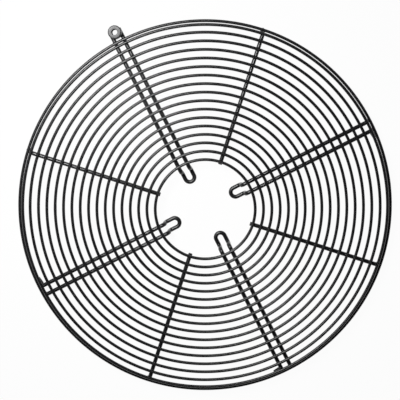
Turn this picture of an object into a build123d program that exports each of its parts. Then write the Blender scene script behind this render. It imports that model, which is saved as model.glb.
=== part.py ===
"""Wire guard for a 450 mm axial fan.

Sixteen grille rings, an edge ring and a rim ring lie across four double supports (hairpins) and four
single supports (spokes). The closed end of each hairpin drops behind the grille, where it takes a bolt
of the fan's motor. At the edge every support drops again, close inside the rim ring, and ends in a foot
behind it, so that the rim ring sits behind the face.

Millimetres. The axis of the guard is Z, and +Z is the ring side. z = 0 is the plane that the feet of the
supports seat on. The hairpin with the mounting eye points along +Y.
"""
import math
import os

from build123d import *

# Wires, with their coat of powder paint
ring_wire = 3.6
support_wire = 5.0
weld_gap = 0.02
wire_end_round = 0.4

# Bolts of the motor, and the closed ends of the hairpins that take them
motor_bolt_radius = 41.5
motor_slot_width = 6.5
motor_slot_length = 10.5
motor_drop = 17.2

# Rings
inner_ring_inset = 8.0
grille_ring_count = 16
grille_ring_pitch = 10.0
edge_ring_step = 9.0
rim_ring_step = 5.0

# Supports and their feet
support_bend_radius = 4.2
rim_drop_straight = 0.1
foot_overrun = 2.0
spoke_foot_sweep = 3.0
long_foot_sweep = 10.5
long_foot_flare = 2.0
spoke_inner_overrun = 3.3

# Mounting eye
eye_step = 11.5
eye_diameter = 16.0
eye_bore = 6.6
eye_mouth_chamfer = 0.9
eye_outer_round = 1.2
eye_leg_overrun = 3.5

# A ring and a support touch when their centre lines are this far apart
ring_radius = ring_wire / 2
support_radius = support_wire / 2
crossing = support_radius + ring_radius + weld_gap

# The drop at the edge is two bends with a short straight run between them. The lower bend goes round the
# rim ring, so its radius follows from the wires.
foot_bend_radius = crossing
rim_drop = support_bend_radius + rim_drop_straight + foot_bend_radius

# Heights of the centre lines
foot_level = support_radius
rim_level = foot_level + crossing
leg_level = foot_level + rim_drop
face_level = leg_level + crossing
motor_level = leg_level - motor_drop

# Distances from the axis
leg_offset = (motor_slot_width + support_wire) / 2
joggle_radius = motor_bolt_radius + motor_slot_length
inner_ring_radius = joggle_radius + inner_ring_inset
outer_ring_radius = inner_ring_radius + (grille_ring_count - 1) * grille_ring_pitch
edge_ring_radius = outer_ring_radius + edge_ring_step
rim_ring_radius = edge_ring_radius + rim_ring_step
drop_radius = rim_ring_radius - crossing
eye_radius = rim_ring_radius + eye_step

# The edge ring lies on the round shoulder of the upper bend
shoulder_reach = support_bend_radius + crossing
past_shoulder = edge_ring_radius - (drop_radius - support_bend_radius)
edge_level = leg_level - support_bend_radius + math.sqrt(shoulder_reach**2 - past_shoulder**2)


def on_ring(x, radius):
    """Distance along Y at which a wire at x crosses a ring."""
    return math.sqrt(radius**2 - x**2)


def ring(radius, level):
    """A closed ring of wire."""
    return Pos(0, 0, level) * Torus(radius, ring_radius)


def foot_end(x, radius, sweep):
    """Tip of a foot at a radius, swept round the axis from the wire at x."""
    turn = math.asin(x / radius) + sweep / radius
    return Vector(radius * math.sin(turn), radius * math.cos(turn), foot_level)


def short_foot_end(x, sweep):
    """Tip of a foot that reaches out under the rim ring."""
    return foot_end(x, rim_ring_radius + foot_overrun, sweep)


def long_foot_end(x):
    """Tip of a foot that turns sideways and runs along the inside of the rim ring."""
    return foot_end(x, drop_radius + long_foot_flare, long_foot_sweep)


def eye_leg_end(x):
    """Tip of a leg that runs out under the rim ring and the mounting eye."""
    return Vector(x, eye_radius + eye_leg_overrun, foot_level)


def drop_points(x, tip):
    """Outer end of a support: the tip of its foot, and the two corners of the drop at the edge."""
    y = on_ring(x, drop_radius)
    return [tip, Vector(x, y, foot_level), Vector(x, y, leg_level)]


def solid_wire(path):
    """Support wire swept along a path, with its two ends slightly rounded."""
    start = Plane(origin=path @ 0, z_dir=path % 0)
    wire = sweep(sections=start * Circle(support_radius), path=path)
    ends = wire.faces().filter_by(GeomType.PLANE).edges()
    return fillet(ends, wire_end_round)


def leg_path(tip):
    """The leg of a hairpin at +X, from the tip of its foot to the start of the closed end."""
    points = drop_points(leg_offset, tip) + [
        Vector(leg_offset, joggle_radius, leg_level),
        Vector(leg_offset, joggle_radius, motor_level),
        Vector(leg_offset, motor_bolt_radius, motor_level),
    ]
    bends = [foot_bend_radius, support_bend_radius, support_bend_radius, support_bend_radius]
    return FilletPolyline(*points, radius=bends)


def hairpin(right_tip, left_tip):
    """Double support along +Y: two legs and the closed end that takes a bolt of the motor.

    Both tips are given for a leg at +X, and the left leg is mirrored.
    """
    right_leg = leg_path(right_tip)
    left_leg = leg_path(left_tip).mirror(Plane.YZ)
    closed_end = ThreePointArc(
        (leg_offset, motor_bolt_radius, motor_level),
        (0, motor_bolt_radius - leg_offset, motor_level),
        (-leg_offset, motor_bolt_radius, motor_level),
    )
    return solid_wire(Wire(right_leg.edges() + closed_end.edges() + left_leg.edges()))


def spoke(side):
    """Single support along +Y, whose foot leans to the given side."""
    points = drop_points(0, short_foot_end(0, side * spoke_foot_sweep))
    points.append(Vector(0, inner_ring_radius - spoke_inner_overrun, leg_level))
    return solid_wire(FilletPolyline(*points, radius=[foot_bend_radius, support_bend_radius]))


def mounting_eye():
    """Bush that stands on the legs of the upper hairpin and ends level with the grille rings."""
    bottom = foot_level + support_radius + weld_gap
    top = face_level + ring_radius
    blank = Pos(0, eye_radius, bottom) * Cylinder(
        eye_diameter / 2, top - bottom, align=(Align.CENTER, Align.CENTER, Align.MIN)
    )
    blank = fillet(blank.faces().sort_by(Axis.Z)[-1].edges(), eye_outer_round)
    bore = Pos(0, eye_radius, bottom) * Cylinder(
        eye_bore / 2, top - bottom, align=(Align.CENTER, Align.CENTER, Align.MIN)
    )
    bush = blank - bore
    mouth = bush.faces().sort_by(Axis.Z)[-1].edges().sort_by(SortBy.RADIUS)[0]
    return chamfer(mouth, eye_mouth_chamfer)


def build():
    """All pieces of the guard by name."""
    pieces = {
        "rim_ring": ring(rim_ring_radius, rim_level),
        "edge_ring": ring(edge_ring_radius, edge_level),
        "mounting_eye": mounting_eye(),
    }
    for number in range(grille_ring_count):
        radius = inner_ring_radius + number * grille_ring_pitch
        pieces[f"grille_ring_{number + 1:02d}"] = ring(radius, face_level)

    # The upper hairpin carries the eye. Of the others' two feet, the right one is long.
    eye_leg = eye_leg_end(leg_offset)
    pieces["upper_hairpin"] = hairpin(eye_leg, eye_leg)
    plain_hairpin = hairpin(long_foot_end(leg_offset), short_foot_end(leg_offset, 0))
    for name, turn in (("right", -90), ("lower", 180), ("left", 90)):
        pieces[f"{name}_hairpin"] = Rot(0, 0, turn) * plain_hairpin

    # Every spoke's foot leans towards the side of the mounting eye
    leans_left = spoke(-1)
    leans_right = spoke(1)
    pieces["upper_right_spoke"] = Rot(0, 0, -45) * leans_left
    pieces["lower_right_spoke"] = Rot(0, 0, -135) * leans_left
    pieces["lower_left_spoke"] = Rot(0, 0, 135) * leans_right
    pieces["upper_left_spoke"] = Rot(0, 0, 45) * leans_right
    return pieces


os.makedirs("parts", exist_ok=True)
for name, piece in build().items():
    export_step(piece, f"parts/{name}.step")
    print(f"{name}: {piece.volume:.0f} mm3")
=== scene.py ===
# %% [markdown]
# # A wire guard for a 450 mm fan
# The guard is one welded piece of round steel wire under a coat of black powder paint. Sixteen grille
# rings, an edge ring and a rim ring lie across eight support wires. Four of the supports are bent double,
# like hairpins, and take the bolts of the fan's motor in their closed ends. The other four are single
# spokes. A small steel bush, the mounting eye, stands outside the rim.
#
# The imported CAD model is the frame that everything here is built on. It is loaded first, and its box is
# kept, because nothing that is added may make the guard larger.

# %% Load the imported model
import bpy
import math
import random
from mathutils import Matrix, Vector


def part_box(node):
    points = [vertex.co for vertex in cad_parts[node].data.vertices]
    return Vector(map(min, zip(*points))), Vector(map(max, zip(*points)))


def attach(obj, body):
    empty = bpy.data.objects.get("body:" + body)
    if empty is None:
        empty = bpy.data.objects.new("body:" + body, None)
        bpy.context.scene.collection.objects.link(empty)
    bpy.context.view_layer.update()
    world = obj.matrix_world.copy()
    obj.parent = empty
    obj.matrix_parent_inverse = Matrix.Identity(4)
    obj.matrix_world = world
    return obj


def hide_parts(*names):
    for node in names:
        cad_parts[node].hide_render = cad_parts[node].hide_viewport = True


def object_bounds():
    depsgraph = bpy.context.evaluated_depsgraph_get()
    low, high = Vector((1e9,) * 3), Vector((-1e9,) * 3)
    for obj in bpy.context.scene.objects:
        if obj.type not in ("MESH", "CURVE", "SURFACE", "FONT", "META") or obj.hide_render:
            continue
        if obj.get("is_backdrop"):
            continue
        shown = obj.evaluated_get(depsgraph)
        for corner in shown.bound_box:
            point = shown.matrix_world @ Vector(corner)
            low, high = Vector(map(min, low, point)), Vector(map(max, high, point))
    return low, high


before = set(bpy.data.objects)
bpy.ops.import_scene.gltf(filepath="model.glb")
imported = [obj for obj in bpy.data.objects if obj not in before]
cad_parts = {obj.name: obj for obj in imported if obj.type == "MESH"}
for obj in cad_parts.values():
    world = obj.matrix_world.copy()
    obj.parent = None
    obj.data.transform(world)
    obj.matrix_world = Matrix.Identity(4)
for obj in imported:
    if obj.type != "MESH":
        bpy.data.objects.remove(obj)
cad_low, cad_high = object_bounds()
print("CAD box in mm:", [round(1000 * v, 1) for v in (*cad_low, *cad_high)])

# %% [markdown]
# ## Sizes
# The guard is drawn in metres, and its sizes are easier to read in millimetres. A wire is given by its
# radius, and a bend by the radius of the wire's centre line. The heights are those of centre lines too.
# z = 0 is the plane that the feet of the supports seat on, and the rings lie on the +Z side of the
# supports. The hairpin that carries the eye points along +Y. Where a ring touches a support, their centre
# lines are one CROSSING apart.

# %% Sizes of the wires and heights of their centre lines
MM = 0.001

RING_WIRE = 3.6 * MM / 2
SUPPORT_WIRE = 5.0 * MM / 2
WELD_GAP = 0.02 * MM
CROSSING = SUPPORT_WIRE + RING_WIRE + WELD_GAP
BEND = 4.2 * MM
FOOT_BEND = CROSSING
MOTOR_DROP = 17.2 * MM

low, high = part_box("grille_ring_01")
FACE_LEVEL = (low.z + high.z) / 2
LEG_LEVEL = FACE_LEVEL - CROSSING
FOOT_LEVEL = SUPPORT_WIRE
MOTOR_LEVEL = LEG_LEVEL - MOTOR_DROP
print(f"rings at {FACE_LEVEL / MM:.2f} mm, supports at {LEG_LEVEL / MM:.2f} mm")

# %% [markdown]
# ## Drawing a wire
# A real wire keeps one round section along its whole length, also through its bends. A curve object with
# a bevel would do, but its ends are cut off flat, and the sheared and painted end of a real wire is
# slightly domed. So each wire is drawn as a mesh tube: a circle of points is carried along the path
# without twisting, and it shrinks over the last 0.7 mm of an open end.

# %% Helper that makes an object of points and faces
def new_piece(name, vertices, faces, smooth=True):
    """Mesh object, put into the scene."""
    mesh = bpy.data.meshes.new(name)
    mesh.from_pydata(vertices, [], faces)
    mesh.update()
    if smooth:
        mesh.shade_smooth()
    piece = bpy.data.objects.new(name, mesh)
    bpy.context.scene.collection.objects.link(piece)
    return piece


# %% Helper that carries a circle along a path
def wire_tube(name, path, radii, sides, closed):
    """Mesh tube round a path of (point, direction) pairs, with its radius at each of them."""
    vertices, faces = [], []
    across = path[0][1].orthogonal().normalized()
    before = path[0][1]
    for (point, direction), radius in zip(path, radii):
        across = before.rotation_difference(direction) @ across
        across = (across - across.dot(direction) * direction).normalized()
        up = direction.cross(across)
        before = direction
        for k in range(sides):
            angle = 2 * math.pi * k / sides
            vertices.append(point + radius * (math.cos(angle) * across + math.sin(angle) * up))
    count = len(path)
    for i in range(count if closed else count - 1):
        here, there = i * sides, (i + 1) % count * sides
        for k in range(sides):
            k2 = (k + 1) % sides
            faces.append((here + k, here + k2, there + k2, there + k))
    if not closed:
        faces.append(tuple(reversed(range(sides))))
        faces.append(tuple((count - 1) * sides + k for k in range(sides)))
    return new_piece(name, vertices, faces)


# %% [markdown]
# ## The rings
# Each ring is a straight wire rolled round and closed by a butt weld. The weld is ground, but under the
# paint it still leaves the wire a little thicker for a few millimetres. The makers put the joints of
# neighbouring rings in different places, so that no weak line crosses the guard. Here the places are
# random, from a fixed seed, so that every run gives the same guard.
#
# The CAD rings are plain tori. Here each is drawn again at the same radius and height, measured from the
# CAD node's own box, with the thicker place at its joint. A ring has to lie flat, so its joint is ground
# level with the wire at the front and the back, and is thicker to the two sides only.

# %% Helpers for a ring
GRILLE_RINGS = 16
RING_STEPS = 320
RING_SIDES = 20
SEAM_LENGTH = 3.0 * MM
SEAM_RISE = 0.10 * MM


def ring_path(radius, level):
    """Points and directions round a ring."""
    path = []
    for k in range(RING_STEPS):
        angle = 2 * math.pi * k / RING_STEPS
        out = Vector((math.cos(angle), math.sin(angle), 0))
        path.append((radius * out + Vector((0, 0, level)), Vector((-out.y, out.x, 0))))
    return path


def seam_radii(radius, seam):
    """Radius of the wire round a ring, thicker where its two ends were welded."""
    radii = []
    for k in range(RING_STEPS):
        turn = 2 * math.pi * k / RING_STEPS - seam
        away = radius * abs(math.atan2(math.sin(turn), math.cos(turn)))
        radii.append(RING_WIRE + SEAM_RISE * math.exp(-((away / SEAM_LENGTH) ** 2)))
    return radii


# %% Draw the rings
rng = random.Random(7)

# Drawn pieces, by the name of the CAD node that each stands for
drawn = {}
ring_radii = {}
ring_levels = {}
ring_names = [f"grille_ring_{n:02d}" for n in range(1, GRILLE_RINGS + 1)] + ["edge_ring", "rim_ring"]
for name in ring_names:
    low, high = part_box(name)
    ring_radii[name] = (high.x - low.x) / 2 - RING_WIRE
    ring_levels[name] = (low.z + high.z) / 2
    seam = rng.uniform(0, 2 * math.pi)
    drawn[name] = wire_tube(
        name + "_wire",
        ring_path(ring_radii[name], ring_levels[name]),
        seam_radii(ring_radii[name], seam),
        RING_SIDES,
        True,
    )
    for vertex in drawn[name].data.vertices:
        vertex.co.z = min(max(vertex.co.z, low.z), high.z)
print("ring radii in mm:", [round(r / MM, 1) for r in ring_radii.values()])

# %% [markdown]
# ## The paths of the supports
# The supports are bent in a press, so a path is a row of straight runs joined by round bends. The corners
# are written down, and a helper rounds them: it stops short of each corner and goes round on an arc that
# starts and ends along the two runs. A second helper puts the points of the dome at each end.

# %% Helpers that round the corners and the ends of a path
ARC_STEP = math.radians(6)

# Shares of the dome's depth at which the tube gets a circle of points
DOME_STEPS = [0.0, 0.08, 0.2, 0.36, 0.55, 0.77, 1.0]


def bent_path(corners, bends):
    """Points and directions of straight runs through the corners, with a bend at each inner corner."""
    path = [(corners[0], (corners[1] - corners[0]).normalized())]
    for before, corner, after, bend in zip(corners, corners[1:], corners[2:], bends):
        come = (corner - before).normalized()
        leave = (after - corner).normalized()
        turn = come.angle(leave)
        side = (leave - come.dot(leave) * come).normalized()
        start = corner - bend * math.tan(turn / 2) * come
        centre = start + bend * side
        steps = max(2, round(turn / ARC_STEP))
        for k in range(steps + 1):
            a = turn * k / steps
            point = centre + bend * (math.sin(a) * come - math.cos(a) * side)
            path.append((point, math.cos(a) * come + math.sin(a) * side))
    path.append((corners[-1], (corners[-1] - corners[-2]).normalized()))
    return path


def domed_ends(path, wire, dome):
    """The path with closely spaced points at its two ends, and radii that shrink there."""
    first, last = path[0], path[-1]
    start = [(first[0] + first[1] * dome * s, first[1]) for s in DOME_STEPS]
    stop = [(last[0] - last[1] * dome * s, last[1]) for s in reversed(DOME_STEPS)]
    narrow = [wire - dome + dome * math.sqrt(1 - (1 - s) ** 2) for s in DOME_STEPS]
    middle = path[1:-1]
    return start + middle + stop, narrow + [wire] * len(middle) + narrow[::-1]


# %% [markdown]
# ## Hairpins and spokes
# From the axis outwards a support runs behind the rings. Under the edge ring it bends down, passes close
# inside the rim ring and ends in a foot behind it. Most feet reach straight out under the rim ring. Those
# of the spokes lean a little to the side of the eye. One foot of each plain hairpin is longer: it turns
# sideways and runs along the rim ring, as the photograph shows at the bottom right. The legs of the upper
# hairpin run on, to carry the eye. A hairpin's closed end drops far behind the grille first.
#
# All of them are drawn along +Y and then turned about the axis, as the maker's jig does.

# %% Distances from the axis, and lengths of the feet
LEG_OFFSET = 5.75 * MM
BOLT_RADIUS = 41.5 * MM
JOGGLE_RADIUS = 52.0 * MM
INNER_RADIUS = ring_radii["grille_ring_01"]
EDGE_RADIUS = ring_radii["edge_ring"]
RIM_RADIUS = ring_radii["rim_ring"]
DROP_RADIUS = RIM_RADIUS - CROSSING
EYE_RADIUS = RIM_RADIUS + 11.5 * MM

FOOT_OVERRUN = 2.0 * MM
LONG_FOOT_FLARE = 2.0 * MM
LONG_FOOT_SWEEP = 10.5 * MM
SPOKE_FOOT_SWEEP = 3.0 * MM
SPOKE_INNER_OVERRUN = 3.3 * MM
EYE_LEG_OVERRUN = 3.5 * MM
print(f"drop at {DROP_RADIUS / MM:.1f} mm, eye at {EYE_RADIUS / MM:.1f} mm from the axis")

# %% Helpers for the path of a support
LOOP_STEPS = 36


def on_ring(x, radius):
    """How far along Y a wire at x crosses a ring."""
    return math.sqrt(radius**2 - x**2)


def foot_tip(x, radius, sweep):
    """Tip of a foot at a radius, swept round the axis from the wire at x."""
    turn = math.asin(x / radius) + sweep / radius
    return Vector((radius * math.sin(turn), radius * math.cos(turn), FOOT_LEVEL))


def drop_corners(x):
    """Lower and upper corner of the drop at the edge of the guard."""
    y = on_ring(x, DROP_RADIUS)
    return [Vector((x, y, FOOT_LEVEL)), Vector((x, y, LEG_LEVEL))]


def leg_path(tip):
    """The leg of a hairpin at +X, from the tip of its foot to the start of the closed end."""
    x = LEG_OFFSET
    corners = [tip] + drop_corners(x) + [
        Vector((x, JOGGLE_RADIUS, LEG_LEVEL)),
        Vector((x, JOGGLE_RADIUS, MOTOR_LEVEL)),
        Vector((x, BOLT_RADIUS, MOTOR_LEVEL)),
    ]
    return bent_path(corners, [FOOT_BEND, BEND, BEND, BEND])


def hairpin_path(right_tip, left_tip):
    """Both legs and the closed end. Both tips are given for a leg at +X, and the left leg is mirrored."""
    x = LEG_OFFSET
    closed_end = []
    for k in range(1, LOOP_STEPS):
        a = math.pi * k / LOOP_STEPS
        point = Vector((x * math.cos(a), BOLT_RADIUS - x * math.sin(a), MOTOR_LEVEL))
        closed_end.append((point, Vector((-math.sin(a), -math.cos(a), 0))))
    back = []
    for point, direction in reversed(leg_path(left_tip)):
        mirrored_point = Vector((-point.x, point.y, point.z))
        back.append((mirrored_point, Vector((direction.x, -direction.y, -direction.z))))
    return leg_path(right_tip) + closed_end + back


def spoke_path(side):
    """A spoke, from the tip of its leaning foot to its inner end."""
    tip = foot_tip(0, RIM_RADIUS + FOOT_OVERRUN, side * SPOKE_FOOT_SWEEP)
    inner_end = Vector((0, INNER_RADIUS - SPOKE_INNER_OVERRUN, LEG_LEVEL))
    return bent_path([tip] + drop_corners(0) + [inner_end], [FOOT_BEND, BEND])


# %% Draw the hairpins and spokes
END_DOME = 0.7 * MM
SUPPORT_SIDES = 24


def draw_support(name, path, degrees):
    """Domed tube round a path that is drawn along +Y and turned about the axis of the guard."""
    spin = Matrix.Rotation(math.radians(degrees), 3, "Z")
    turned = [(spin @ point, spin @ direction) for point, direction in path]
    path, radii = domed_ends(turned, SUPPORT_WIRE, END_DOME)
    return wire_tube(name + "_wire", path, radii, SUPPORT_SIDES, False)


eye_tip = Vector((LEG_OFFSET, EYE_RADIUS + EYE_LEG_OVERRUN, FOOT_LEVEL))
long_tip = foot_tip(LEG_OFFSET, DROP_RADIUS + LONG_FOOT_FLARE, LONG_FOOT_SWEEP)
short_tip = foot_tip(LEG_OFFSET, RIM_RADIUS + FOOT_OVERRUN, 0)

hairpin_turns = {"upper": 0, "right": -90, "lower": 180, "left": 90}
for side, degrees in hairpin_turns.items():
    tips = (eye_tip, eye_tip) if side == "upper" else (long_tip, short_tip)
    name = side + "_hairpin"
    drawn[name] = draw_support(name, hairpin_path(*tips), degrees)

# Each spoke has its turn in degrees, and the side that its foot leans to
spoke_turns = {
    "upper_right": (-45, -1),
    "lower_right": (-135, -1),
    "lower_left": (135, 1),
    "upper_left": (45, 1),
}
for corner, (degrees, lean) in spoke_turns.items():
    name = corner + "_spoke"
    drawn[name] = draw_support(name, spoke_path(lean), degrees)
print(len(hairpin_turns), "hairpins and", len(spoke_turns), "spokes")

# %% [markdown]
# A drawn wire has to lie where its CAD solid lies, because the solid is what collides. Their boxes are
# compared.

# %% Compare the supports with the CAD solids
def farthest_off(piece, node):
    """The largest distance between the sides of a drawn piece's box and of its CAD node's box."""
    low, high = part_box(node)
    points = [vertex.co for vertex in piece.data.vertices]
    below = max(abs(min(p[i] for p in points) - low[i]) for i in range(3))
    above = max(abs(max(p[i] for p in points) - high[i]) for i in range(3))
    return max(below, above)


for name in [s + "_hairpin" for s in hairpin_turns] + [c + "_spoke" for c in spoke_turns]:
    print(f"{name}: box within {farthest_off(drawn[name], name) / MM:.2f} mm of the CAD solid")

# %% [markdown]
# ## The welds
# Where a ring crosses a support, the two wires are pressed together while a current melts the spot where
# they touch. A little steel is squeezed out and sets as a low collar round the contact, and the paint
# rounds it off. In the CAD the wires only touch. Here every crossing gets its collar: a flattened round
# bead, whose flat side lies square to the line between the two wires. No real bead is quite round, so the
# outline of each one wobbles a little.

# %% Helper that adds a bead
BEAD_TURNS = 14
BEAD_ROWS = 8
BEAD_WOBBLE = (0.94, 1.06)


def add_bead(vertices, faces, centre, along, normal, size):
    """One flattened round bead. size gives half its length, half its width and half its height."""
    half_length, half_width, half_height = size
    side = normal.cross(along).normalized()
    first = len(vertices)
    wobble = [rng.uniform(*BEAD_WOBBLE) for _ in range(BEAD_TURNS)]
    vertices.append(centre - half_height * normal)
    for row in range(1, BEAD_ROWS):
        tilt = math.pi * row / BEAD_ROWS
        for k in range(BEAD_TURNS):
            a = 2 * math.pi * k / BEAD_TURNS
            out = half_length * math.cos(a) * along + half_width * math.sin(a) * side
            level = half_height * math.cos(tilt) * normal
            vertices.append(centre + math.sin(tilt) * wobble[k] * out - level)
    vertices.append(centre + half_height * normal)
    last = len(vertices) - 1
    for k in range(BEAD_TURNS):
        k2 = (k + 1) % BEAD_TURNS
        faces.append((first, first + 1 + k2, first + 1 + k))
        for row in range(BEAD_ROWS - 2):
            a = first + 1 + row * BEAD_TURNS
            b = a + BEAD_TURNS
            faces.append((a + k, a + k2, b + k2, b + k))
        end = last - BEAD_TURNS
        faces.append((end + k, end + k2, last))


def bead_piece(name, beads):
    """One mesh of all the beads on a support."""
    vertices, faces = [], []
    for centre, along, normal, size in beads:
        add_bead(vertices, faces, centre, along, normal, size)
    return new_piece(name, vertices, faces)


# %% [markdown]
# The collars are placed on a leg along +Y, mirrored for the other leg of a hairpin, and turned with the
# support. On the round shoulder of the drop the collar faces the middle of the edge ring. The collar
# under the rim ring is a little shorter, because nothing may stand out of the CAD model's box.

# %% Places of the collars
COLLAR = (2.4 * MM, 2.2 * MM, 0.8 * MM)
RIM_COLLAR = (1.8 * MM, 2.2 * MM, 0.8 * MM)


def leg_beads(x, foot_under_rim):
    """Collars on one support wire at x, drawn along +Y: grille rings, edge ring and rim ring."""
    up = Vector((0, 0, 1))
    out = Vector((0, 1, 0))
    beads = []
    for name in ring_names[:GRILLE_RINGS]:
        spot = Vector((x, on_ring(x, ring_radii[name]), LEG_LEVEL + SUPPORT_WIRE))
        beads.append((spot, out, up, COLLAR))
    drop = on_ring(x, DROP_RADIUS)
    bend_centre = Vector((x, drop - BEND, LEG_LEVEL - BEND))
    ring_centre = Vector((x, on_ring(x, EDGE_RADIUS), ring_levels["edge_ring"]))
    to_ring = (ring_centre - bend_centre).normalized()
    spot = bend_centre + (BEND + SUPPORT_WIRE) * to_ring
    beads.append((spot, Vector((0, to_ring.z, -to_ring.y)), to_ring, COLLAR))
    beads.append((Vector((x, drop + SUPPORT_WIRE, ring_levels["rim_ring"])), up, out, COLLAR))
    if foot_under_rim:
        spot = Vector((x, on_ring(x, RIM_RADIUS), FOOT_LEVEL + SUPPORT_WIRE))
        beads.append((spot, out, up, RIM_COLLAR))
    return beads


def mirrored(beads):
    """The same collars on the other leg of a hairpin."""
    flip = Matrix.Diagonal((-1, 1, 1))
    return [(flip @ c, flip @ a, flip @ n, s) for c, a, n, s in beads]


def turned(beads, degrees):
    """The collars turned about the axis of the guard."""
    spin = Matrix.Rotation(math.radians(degrees), 3, "Z")
    return [(spin @ c, spin @ a, spin @ n, s) for c, a, n, s in beads]


# %% Draw the weld collars
welds = {}
for side, degrees in hairpin_turns.items():
    right = leg_beads(LEG_OFFSET, side == "upper")
    left = mirrored(leg_beads(LEG_OFFSET, True))
    welds[side + "_hairpin"] = bead_piece(side + "_hairpin_welds", turned(right + left, degrees))
for corner, (degrees, lean) in spoke_turns.items():
    welds[corner + "_spoke"] = bead_piece(corner + "_spoke_welds", turned(leg_beads(0, True), degrees))
bead_points = 2 + BEAD_TURNS * (BEAD_ROWS - 1)
print("weld collars:", sum(len(weld.data.vertices) for weld in welds.values()) // bead_points)

# %% [markdown]
# ## The mounting eye
# The eye is a turned steel bush welded on the legs of the upper hairpin, and it is painted with the rest.
# Paint that melts draws itself thin over an edge and rounds it, so no corner of the bush stays sharp. The
# bush is a turned shape: a profile of its section is swept round its axis, and each corner of the profile
# is a short round curve. The CAD solid has a wide chamfer at the mouth of the bore. The photograph shows a
# sharper mouth, so only a small break is drawn here.

# %% Helpers for turned shapes
def rounded_profile(corners, steps=6):
    """Closed section through (distance from the axis, height, rounding) corners."""
    profile = []
    count = len(corners)
    for i, (r, z, rounding) in enumerate(corners):
        here = Vector((r, z))
        come = (here - Vector(corners[i - 1][:2])).normalized()
        leave = (Vector(corners[(i + 1) % count][:2]) - here).normalized()
        reach = rounding * math.tan(come.angle(leave) / 2)
        start, stop = here - reach * come, here + reach * leave
        for k in range(steps + 1):
            t = k / steps
            profile.append((1 - t) ** 2 * start + 2 * t * (1 - t) * here + t**2 * stop)
    return profile


def swept_round(profile, turns, centre_y, closed):
    """Points and faces of a section swept round the line x = 0, y = centre_y.

    The section is given by (distance from the line, height). If it is closed, its last point joins its
    first.
    """
    vertices, faces = [], []
    rows = len(profile)
    for k in range(turns):
        a = 2 * math.pi * k / turns
        for r, z in profile:
            vertices.append((r * math.cos(a), centre_y + r * math.sin(a), z))
    for k in range(turns):
        here, there = k * rows, (k + 1) % turns * rows
        for row in range(rows if closed else rows - 1):
            row2 = (row + 1) % rows
            faces.append((here + row, there + row, there + row2, here + row2))
    return vertices, faces


# %% Draw the bush
BUSH_TURNS = 128
low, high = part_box("mounting_eye")
EYE_BOTTOM, EYE_TOP = low.z, high.z
EYE_OUTER = (high.x - low.x) / 2
EYE_BORE = 3.3 * MM
MOUTH_BREAK = 0.35 * MM
MOUTH_ROUND = 0.15 * MM
OUTER_ROUND = 1.2 * MM
PAINT_ROUND = 0.25 * MM

bush_profile = rounded_profile(
    [
        (EYE_BORE, EYE_BOTTOM, PAINT_ROUND),
        (EYE_OUTER, EYE_BOTTOM, PAINT_ROUND),
        (EYE_OUTER, EYE_TOP, OUTER_ROUND),
        (EYE_BORE + MOUTH_BREAK, EYE_TOP, MOUTH_ROUND),
        (EYE_BORE, EYE_TOP - MOUTH_BREAK, MOUTH_ROUND),
    ]
)
bush = new_piece("mounting_eye_bush", *swept_round(bush_profile, BUSH_TURNS, EYE_RADIUS, True))
drawn["mounting_eye"] = bush
print(f"eye: {2 * EYE_OUTER / MM:.1f} mm across, {(EYE_TOP - EYE_BOTTOM) / MM:.1f} mm high")

# %% [markdown]
# The wall of the bore gets another finish than the outside of the bush, so its faces are told apart here.
# They take the second of the bush's two paints.

# %% Tell the faces in the bore apart
OUTSIDE_PAINT, BORE_PAINT = 0, 1
BORE_MARGIN = 0.03 * MM

for face in bush.data.polygons:
    from_axis = math.hypot(face.center.x, face.center.y - EYE_RADIUS)
    face.material_index = BORE_PAINT if from_axis < EYE_BORE + BORE_MARGIN else OUTSIDE_PAINT
print("faces in the bore:", sum(face.material_index == BORE_PAINT for face in bush.data.polygons))

# %% [markdown]
# The bush is held by two runs of weld, one along each leg. Each run is a row of small beads that overlap
# like scales, low and close to the wall of the bush.

# %% Draw the welds under the bush
EYE_BEAD = (1.0 * MM, 1.5 * MM, 0.6 * MM)
EYE_BEADS = 7
EYE_BEAD_STEP = 1.3 * MM
EYE_BEAD_START = EYE_RADIUS - 4.8 * MM

eye_beads = []
for x in (-LEG_OFFSET, LEG_OFFSET):
    for k in range(EYE_BEADS):
        spot = Vector((x, EYE_BEAD_START + k * EYE_BEAD_STEP, FOOT_LEVEL + SUPPORT_WIRE))
        eye_beads.append((spot, Vector((0, 1, 0)), Vector((0, 0, 1)), EYE_BEAD))
welds["mounting_eye"] = bead_piece("mounting_eye_welds", eye_beads)
print("weld beads under the bush:", len(eye_beads))

# %% [markdown]
# ## Black powder paint
# Powder paint melts and sets in an oven. It is never quite even: it has a fine ripple like orange peel,
# about a millimetre from crest to crest, it is glossier in some places than in others, and its black is
# not one black. Three noise textures give these three things. They read the object's own coordinates,
# in metres, so the ripple has its real size on every wire.

# %% Helpers for material nodes
NOISE_LOW, NOISE_HIGH = 0.3, 0.7


def set_input(node, name, value):
    """Sets the value that an input has while nothing is linked to it."""
    node.inputs[name].default_value = value


def noise(tree, scale, detail, coordinates):
    """A noise texture whose scale is in waves per metre."""
    node = tree.nodes.new("ShaderNodeTexNoise")
    set_input(node, "Scale", scale)
    set_input(node, "Detail", detail)
    tree.links.new(coordinates, node.inputs["Vector"])
    return node.outputs["Fac"]


def spread(tree, source, low_value, high_value):
    """Stretches a noise, which stays mostly near its middle, over a range of values."""
    node = tree.nodes.new("ShaderNodeMapRange")
    set_input(node, "From Min", NOISE_LOW)
    set_input(node, "From Max", NOISE_HIGH)
    set_input(node, "To Min", low_value)
    set_input(node, "To Max", high_value)
    tree.links.new(source, node.inputs["Value"])
    return node.outputs["Result"]


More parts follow.
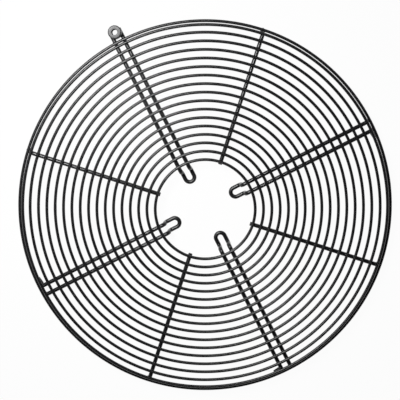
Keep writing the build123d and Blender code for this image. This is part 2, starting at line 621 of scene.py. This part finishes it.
def shades(tree, source, dark, light):
    """Two colours, mixed by a noise."""
    node = tree.nodes.new("ShaderNodeValToRGB")
    node.color_ramp.elements[0].position = NOISE_LOW
    node.color_ramp.elements[0].color = (*dark, 1)
    node.color_ramp.elements[1].position = NOISE_HIGH
    node.color_ramp.elements[1].color = (*light, 1)
    tree.links.new(source, node.inputs["Fac"])
    return node.outputs["Color"]


# %% [markdown]
# The bush gets the same paint, but duller: its face was turned on a lathe, and the coat on it takes up the
# fine marks of the tool. Little powder reaches the deep bore, and there the coat is thin and quite matt.

# %% Paint of the wires, the bush and its bore
DARK_BLACK = (0.002, 0.002, 0.0025)
LIGHT_BLACK = (0.006, 0.006, 0.007)
BLACK_WAVES = 90
GLOSS_WAVES = 260
RIPPLE_WAVES = 900
RIPPLE_HEIGHT = 0.03 * MM
RIPPLE_STRENGTH = 0.6


def powder_coat(name, roughness, refraction):
    """Black powder paint, with its lowest and highest roughness and its index of refraction."""
    material = bpy.data.materials.new(name)
    material.use_nodes = True
    tree = material.node_tree
    paint = tree.nodes["Principled BSDF"]
    where = tree.nodes.new("ShaderNodeTexCoord").outputs["Object"]
    black = shades(tree, noise(tree, BLACK_WAVES, 3, where), DARK_BLACK, LIGHT_BLACK)
    tree.links.new(black, paint.inputs["Base Color"])
    gloss = spread(tree, noise(tree, GLOSS_WAVES, 2, where), *roughness)
    tree.links.new(gloss, paint.inputs["Roughness"])
    set_input(paint, "IOR", refraction)
    peel = tree.nodes.new("ShaderNodeBump")
    set_input(peel, "Strength", RIPPLE_STRENGTH)
    set_input(peel, "Distance", RIPPLE_HEIGHT)
    tree.links.new(noise(tree, RIPPLE_WAVES, 2, where), peel.inputs["Height"])
    tree.links.new(peel.outputs["Normal"], paint.inputs["Normal"])
    return material


powder_on_wire = powder_coat("black_powder_coat_on_wire", (0.27, 0.33), 1.5)
powder_on_bush = powder_coat("black_powder_coat_on_bush", (0.34, 0.39), 1.45)
powder_in_bore = powder_coat("black_powder_coat_in_bore", (0.75, 0.85), 1.25)
print("paints:", powder_on_wire.name, powder_on_bush.name, powder_in_bore.name)

# %% [markdown]
# ## Put the pieces on the guard
# The guard has no joints, so everything rides on its one body. Each drawn wire, and the drawn bush, stands
# for the CAD node of the same name.

# %% Attach, replace and paint
for name, piece in drawn.items():
    paints = (powder_on_bush, powder_in_bore) if name == "mounting_eye" else (powder_on_wire,)
    for paint in paints:
        piece.data.materials.append(paint)
    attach(piece, "root")
    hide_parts(name)
for piece in welds.values():
    piece.data.materials.append(powder_on_wire)
    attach(piece, "root")
for name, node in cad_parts.items():
    node.data.materials.clear()
    node.data.materials.append(powder_on_wire)
print(len(drawn) + len(welds), "pieces")

# %% [markdown]
# ## Floor and surroundings
# The photograph has a plain white ground. The guard lies on a white floor that bends up into a low wall
# all round, far away, so that white is behind it from any side.

# %% Floor with a low wall
FLOOR_LEVEL = cad_low.z
FLOOR_RADIUS = 8.0
FLOOR_TURNS = 96
WALL_HEIGHT = 2.2

# Distance from the middle, and height above the floor
floor_profile = [
    (0.6, 0),
    (2.0, 0),
    (FLOOR_RADIUS - 0.6, 0),
    (FLOOR_RADIUS - 0.25, 0.1),
    (FLOOR_RADIUS, 0.5),
    (FLOOR_RADIUS, WALL_HEIGHT),
]
floor_profile = [(r, FLOOR_LEVEL + height) for r, height in floor_profile]
vertices, faces = swept_round(floor_profile, FLOOR_TURNS, 0, False)
faces.append(tuple(k * len(floor_profile) for k in range(FLOOR_TURNS)))
floor = new_piece("floor", vertices, faces, smooth=False)
floor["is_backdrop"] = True
print(f"floor: {2 * FLOOR_RADIUS:.0f} m across, with a wall of {WALL_HEIGHT} m")

# %% [markdown]
# Most of the floor's white is its own light, seen by the camera and in reflections alone, so it doesn't
# light the guard. The rest of it is plain paint that takes the guard's shadow.

# %% White of the floor
FLOOR_GLOW = 0.96
FLOOR_PAINT = (0.85, 0.85, 0.85, 1)


def larger(tree, first, second):
    """The larger of two values."""
    node = tree.nodes.new("ShaderNodeMath")
    node.operation = "MAXIMUM"
    tree.links.new(first, node.inputs[0])
    tree.links.new(second, node.inputs[1])
    return node.outputs["Value"]


white = bpy.data.materials.new("white_floor")
white.use_nodes = True
tree = white.node_tree
tree.nodes.remove(tree.nodes["Principled BSDF"])
matt = tree.nodes.new("ShaderNodeBsdfDiffuse")
set_input(matt, "Color", FLOOR_PAINT)
shine = tree.nodes.new("ShaderNodeEmission")
set_input(shine, "Strength", 1.0)
rays = tree.nodes.new("ShaderNodeLightPath")
seen = larger(tree, rays.outputs["Is Camera Ray"], rays.outputs["Is Glossy Ray"])
seen = larger(tree, seen, rays.outputs["Is Transmission Ray"])
share = tree.nodes.new("ShaderNodeMath")
share.operation = "MULTIPLY"
set_input(share, 1, FLOOR_GLOW)
tree.links.new(seen, share.inputs[0])
blend = tree.nodes.new("ShaderNodeMixShader")
tree.links.new(share.outputs["Value"], blend.inputs["Fac"])
tree.links.new(matt.outputs["BSDF"], blend.inputs[1])
tree.links.new(shine.outputs["Emission"], blend.inputs[2])
tree.links.new(blend.outputs["Shader"], tree.nodes["Material Output"].inputs["Surface"])
floor.data.materials.append(white)
print("glow of the floor:", FLOOR_GLOW)

# %% [markdown]
# The world stands for the dim room. It gives the sides of the wires that the lamp doesn't reach a little
# light, and no more, because they are nearly black in the photograph.

# %% Dim room
ROOM_COLOUR = (0.04, 0.04, 0.043, 1)

world = bpy.data.worlds.new("studio")
bpy.context.scene.world = world
world.use_nodes = True
background = world.node_tree.nodes["Background"]
set_input(background, "Color", ROOM_COLOUR)
set_input(background, "Strength", 1.0)
print("room:", ROOM_COLOUR[:3])

# %% [markdown]
# ## Light
# The bright line that runs along each wire is the image of one lamp. The places of these lines on rings
# and legs all over the photograph give the lamp's place: 0.9 m from the guard, beside the camera on the
# side of the eye. Their width gives its size: a softbox 0.3 m square. The lines fade towards the lower
# right, so the lamp is aimed at the upper left part of the guard, and its beam is narrowed, as by a grid.
# From its place the flat face of the eye throws the lamp straight into the camera, which makes that face
# light.

# %% Softbox beside the camera
LAMP_PLACE = Vector((-0.085, 0.435, 0.81))
LAMP_SIZE = 0.3
LAMP_AIM = Vector((-0.08, 0.14, 0))
LAMP_SPREAD = math.radians(72)
LAMP_POWER = 1.75

lamp_data = bpy.data.lights.new("lamp", "AREA")
lamp_data.shape = "SQUARE"
lamp_data.size = LAMP_SIZE
lamp_data.spread = LAMP_SPREAD
lamp_data.energy = LAMP_POWER
lamp = bpy.data.objects.new("lamp", lamp_data)
bpy.context.scene.collection.objects.link(lamp)
lamp.location = LAMP_PLACE
lamp.rotation_mode = "QUATERNION"
lamp.rotation_quaternion = (LAMP_PLACE - LAMP_AIM).to_track_quat("Z", "Y")
print("lamp at", [round(v, 2) for v in lamp.location])

# %% [markdown]
# ## Camera
# The rings of the photograph were fitted as circles in one plane. That gave the camera's place: 1.14 m
# in front of the guard, tipped by 6.4 degrees, with the guard turned by 27 degrees about its axis.

# %% Camera as in the photograph
PHOTO_WIDTH = 400
FOCAL_PIXELS = 954
SENSOR_WIDTH = 36
GUARD_SEEN_AT = (6.30 * MM, -11.41 * MM, -1144.8 * MM)
GUARD_TURNS = (("Y", 0.19), ("X", 6.41), ("Z", 26.95))

camera_data = bpy.data.cameras.new("camera")
camera_data.sensor_width = SENSOR_WIDTH
camera_data.lens = SENSOR_WIDTH * FOCAL_PIXELS / PHOTO_WIDTH
camera_data.clip_start = 0.05
camera_data.clip_end = 50
camera = bpy.data.objects.new("camera", camera_data)
bpy.context.scene.collection.objects.link(camera)
guard_to_camera = Matrix.Translation(GUARD_SEEN_AT)
for axis, degrees in GUARD_TURNS:
    guard_to_camera = guard_to_camera @ Matrix.Rotation(math.radians(degrees), 4, axis)
guard_to_camera = guard_to_camera @ Matrix.Translation((0, 0, -FACE_LEVEL))
camera.matrix_world = guard_to_camera.inverted()
bpy.context.scene.camera = camera
bpy.context.scene.view_settings.view_transform = "Standard"
print("camera at", [round(v, 3) for v in camera.matrix_world.translation])

# %% [markdown]
# ## Size of the dressed model
# The last step prints the dressed model's box, so that it can be compared with the CAD model's box, which
# is printed at the start.

# %% Print the dressed model's box
low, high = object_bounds()
print("visual box in mm:", [round(1000 * v, 1) for v in (*low, *high)])
